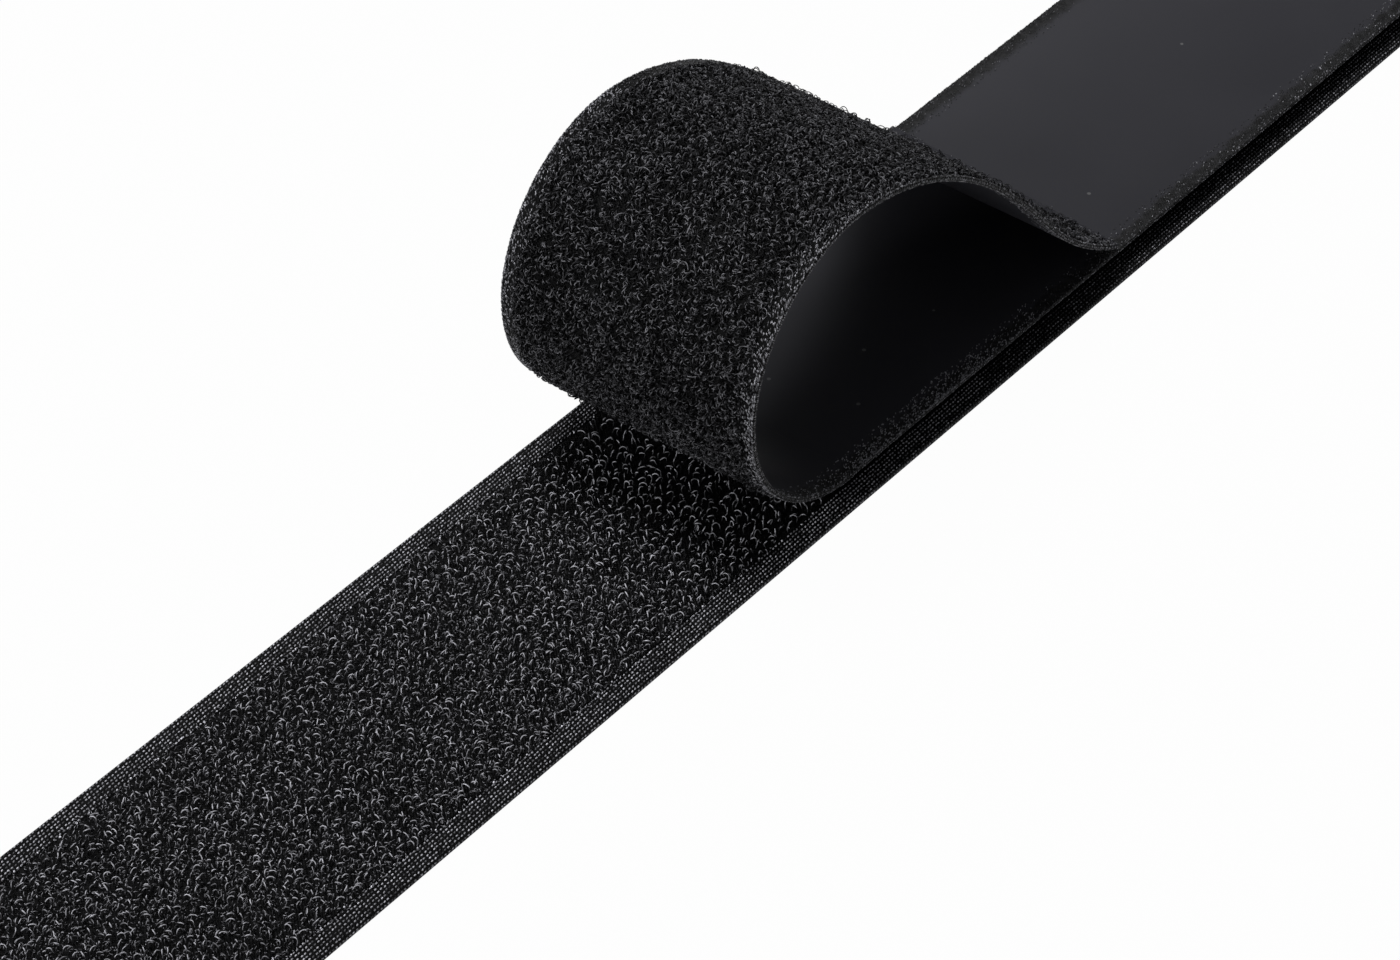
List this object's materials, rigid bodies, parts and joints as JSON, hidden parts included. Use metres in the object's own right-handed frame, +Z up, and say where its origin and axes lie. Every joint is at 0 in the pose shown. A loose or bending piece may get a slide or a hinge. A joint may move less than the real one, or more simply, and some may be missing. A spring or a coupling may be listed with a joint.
{
  "type": "hook and loop tape",
  "caption": "Woven hook tape with matching loop tape pressed on over half its length, its other half peeled up and curled back over itself as a bending flap.",
  "frame": {"origin": "on the hook tape's back face, under the peel line, midway across the tape", "axes": "+X along the tape towards the pressed end, +Y across it to the far edge, +Z up from the back"},
  "size_m": [0.35, 0.0526, 0.0569],
  "materials": {
    "hook_web": "woven black nylon",
    "hook_selvedge": "flat woven black edge",
    "hooks": "semi-gloss monofilament",
    "hook_coating": "satin coating",
    "loop_pile": "brushed black loops",
    "loop_web": "woven black nylon",
    "loop_coating": "satin coating"
  },
  "bodies": {
    "pressed_tapes": {"hook_coating": "hook_coating", "hook_web": "hook_web", "hook_selvedge_near": "hook_selvedge", "hook_selvedge_far": "hook_selvedge", "hook_field_1": "hooks", "hook_field_2": "hooks", "hook_field_3": "hooks", "hook_field_4": "hooks", "loop_pile_pressed": "loop_pile", "loop_web_pressed": "loop_web", "loop_coating_pressed": "loop_coating"},
    "flap_01": {"loop_pile_01": "loop_pile", "loop_web_01": "loop_web", "loop_coating_01": "loop_coating"},
    "flap_02": {"loop_pile_02": "loop_pile", "loop_web_02": "loop_web", "loop_coating_02": "loop_coating"},
    "flap_03": {"loop_pile_03": "loop_pile", "loop_web_03": "loop_web", "loop_coating_03": "loop_coating"},
    "flap_04": {"loop_pile_04": "loop_pile", "loop_web_04": "loop_web", "loop_coating_04": "loop_coating"},
    "flap_05": {"loop_pile_05": "loop_pile", "loop_web_05": "loop_web", "loop_coating_05": "loop_coating"},
    "flap_06": {"loop_pile_06": "loop_pile", "loop_web_06": "loop_web", "loop_coating_06": "loop_coating"},
    "flap_07": {"loop_pile_07": "loop_pile", "loop_web_07": "loop_web", "loop_coating_07": "loop_coating"},
    "flap_08": {"loop_pile_08": "loop_pile", "loop_web_08": "loop_web", "loop_coating_08": "loop_coating"},
    "flap_09": {"loop_pile_09": "loop_pile", "loop_web_09": "loop_web", "loop_coating_09": "loop_coating"},
    "flap_10": {"loop_pile_10": "loop_pile", "loop_web_10": "loop_web", "loop_coating_10": "loop_coating"},
    "flap_11": {"loop_pile_11": "loop_pile", "loop_web_11": "loop_web", "loop_coating_11": "loop_coating"},
    "flap_12": {"loop_pile_12": "loop_pile", "loop_web_12": "loop_web", "loop_coating_12": "loop_coating"},
    "flap_13": {"loop_pile_13": "loop_pile", "loop_web_13": "loop_web", "loop_coating_13": "loop_coating"},
    "flap_14": {"loop_pile_14": "loop_pile", "loop_web_14": "loop_web", "loop_coating_14": "loop_coating"},
    "flap_15": {"loop_pile_15": "loop_pile", "loop_web_15": "loop_web", "loop_coating_15": "loop_coating"},
    "flap_16": {"loop_pile_16": "loop_pile", "loop_web_16": "loop_web", "loop_coating_16": "loop_coating"}
  },
  "joints": [
    {"name": "peel", "type": "hinge", "parent": "pressed_tapes", "child": "flap_01", "pos_m": [0, 0.0026, 0.0043], "axis": [0, -1, 0], "range_deg": [0, 23.1]},
    {"name": "bend_02", "type": "hinge", "parent": "flap_01", "child": "flap_02", "pos_m": [-0.00957, 0.0026, 0.00838], "axis": [0, -1, 0], "range_deg": [0, 23.1]},
    {"name": "bend_03", "type": "hinge", "parent": "flap_02", "child": "flap_03", "pos_m": [-0.01676, 0.0026, 0.01589], "axis": [0, -1, 0], "range_deg": [0, 23.1]},
    {"name": "bend_04", "type": "hinge", "parent": "flap_03", "child": "flap_04", "pos_m": [-0.02044, 0.0026, 0.02562], "axis": [0, -1, 0], "range_deg": [0, 23.1]},
    {"name": "bend_05", "type": "hinge", "parent": "flap_04", "child": "flap_05", "pos_m": [-0.02001, 0.0026, 0.03601], "axis": [0, -1, 0], "range_deg": [0, 23.1]},
    {"name": "bend_06", "type": "hinge", "parent": "flap_05", "child": "flap_06", "pos_m": [-0.01553, 0.0026, 0.04539], "axis": [0, -1, 0], "range_deg": [0, 23.1]},
    {"name": "bend_07", "type": "hinge", "parent": "flap_06", "child": "flap_07", "pos_m": [-0.00773, 0.0026, 0.05227], "axis": [0, -1, 0], "range_deg": [0, 23.1]},
    {"name": "bend_08", "type": "hinge", "parent": "flap_07", "child": "flap_08", "pos_m": [0.00215, 0.0026, 0.05554], "axis": [0, -1, 0], "range_deg": [0, 23.1]},
    {"name": "bend_09", "type": "hinge", "parent": "flap_08", "child": "flap_09", "pos_m": [0.01251, 0.0026, 0.05467], "axis": [0, -1, 0], "range_deg": [0, 13.06]},
    {"name": "bend_10", "type": "hinge", "parent": "flap_09", "child": "flap_10", "pos_m": [0.02241, 0.0026, 0.05148], "axis": [0, -1, 0], "range_deg": [0, 10.88]},
    {"name": "bend_11", "type": "hinge", "parent": "flap_10", "child": "flap_11", "pos_m": [0.03153, 0.0026, 0.04647], "axis": [0, -1, 0], "range_deg": [0, 8.71]},
    {"name": "bend_12", "type": "hinge", "parent": "flap_11", "child": "flap_12", "pos_m": [0.03978, 0.0026, 0.04015], "axis": [0, -1, 0], "range_deg": [0, 6.53]},
    {"name": "bend_13", "type": "hinge", "parent": "flap_12", "child": "flap_13", "pos_m": [0.04727, 0.0026, 0.03293], "axis": [0, -1, 0], "range_deg": [0, 4.35]},
    {"name": "bend_14", "type": "hinge", "parent": "flap_13", "child": "flap_14", "pos_m": [0.05418, 0.0026, 0.02516], "axis": [0, -1, 0], "range_deg": [0, 2.18]},
    {"name": "bend_15", "type": "hinge", "parent": "flap_14", "child": "flap_15", "pos_m": [0.06187, 0.0026, 0.01802], "axis": [0, 1, 0], "range_deg": [0, 9.7]},
    {"name": "bend_16", "type": "hinge", "parent": "flap_15", "child": "flap_16", "pos_m": [0.06974, 0.0026, 0.01122], "axis": [0, 1, 0], "range_deg": [0, 9.7]}
  ],
  "couplings": [
    {"joint": "bend_02", "follows": "peel", "ratio": 1},
    {"joint": "bend_03", "follows": "peel", "ratio": 1},
    {"joint": "bend_04", "follows": "peel", "ratio": 1},
    {"joint": "bend_05", "follows": "peel", "ratio": 1},
    {"joint": "bend_06", "follows": "peel", "ratio": 1},
    {"joint": "bend_07", "follows": "peel", "ratio": 1},
    {"joint": "bend_08", "follows": "peel", "ratio": 1},
    {"joint": "bend_09", "follows": "peel", "ratio": 0.56545},
    {"joint": "bend_10", "follows": "peel", "ratio": 0.4712},
    {"joint": "bend_11", "follows": "peel", "ratio": 0.37696},
    {"joint": "bend_12", "follows": "peel", "ratio": 0.28272},
    {"joint": "bend_13", "follows": "peel", "ratio": 0.18848},
    {"joint": "bend_14", "follows": "peel", "ratio": 0.094242},
    {"joint": "bend_15", "follows": "peel", "ratio": 0.41991},
    {"joint": "bend_16", "follows": "peel", "ratio": 0.41991}
  ]
}
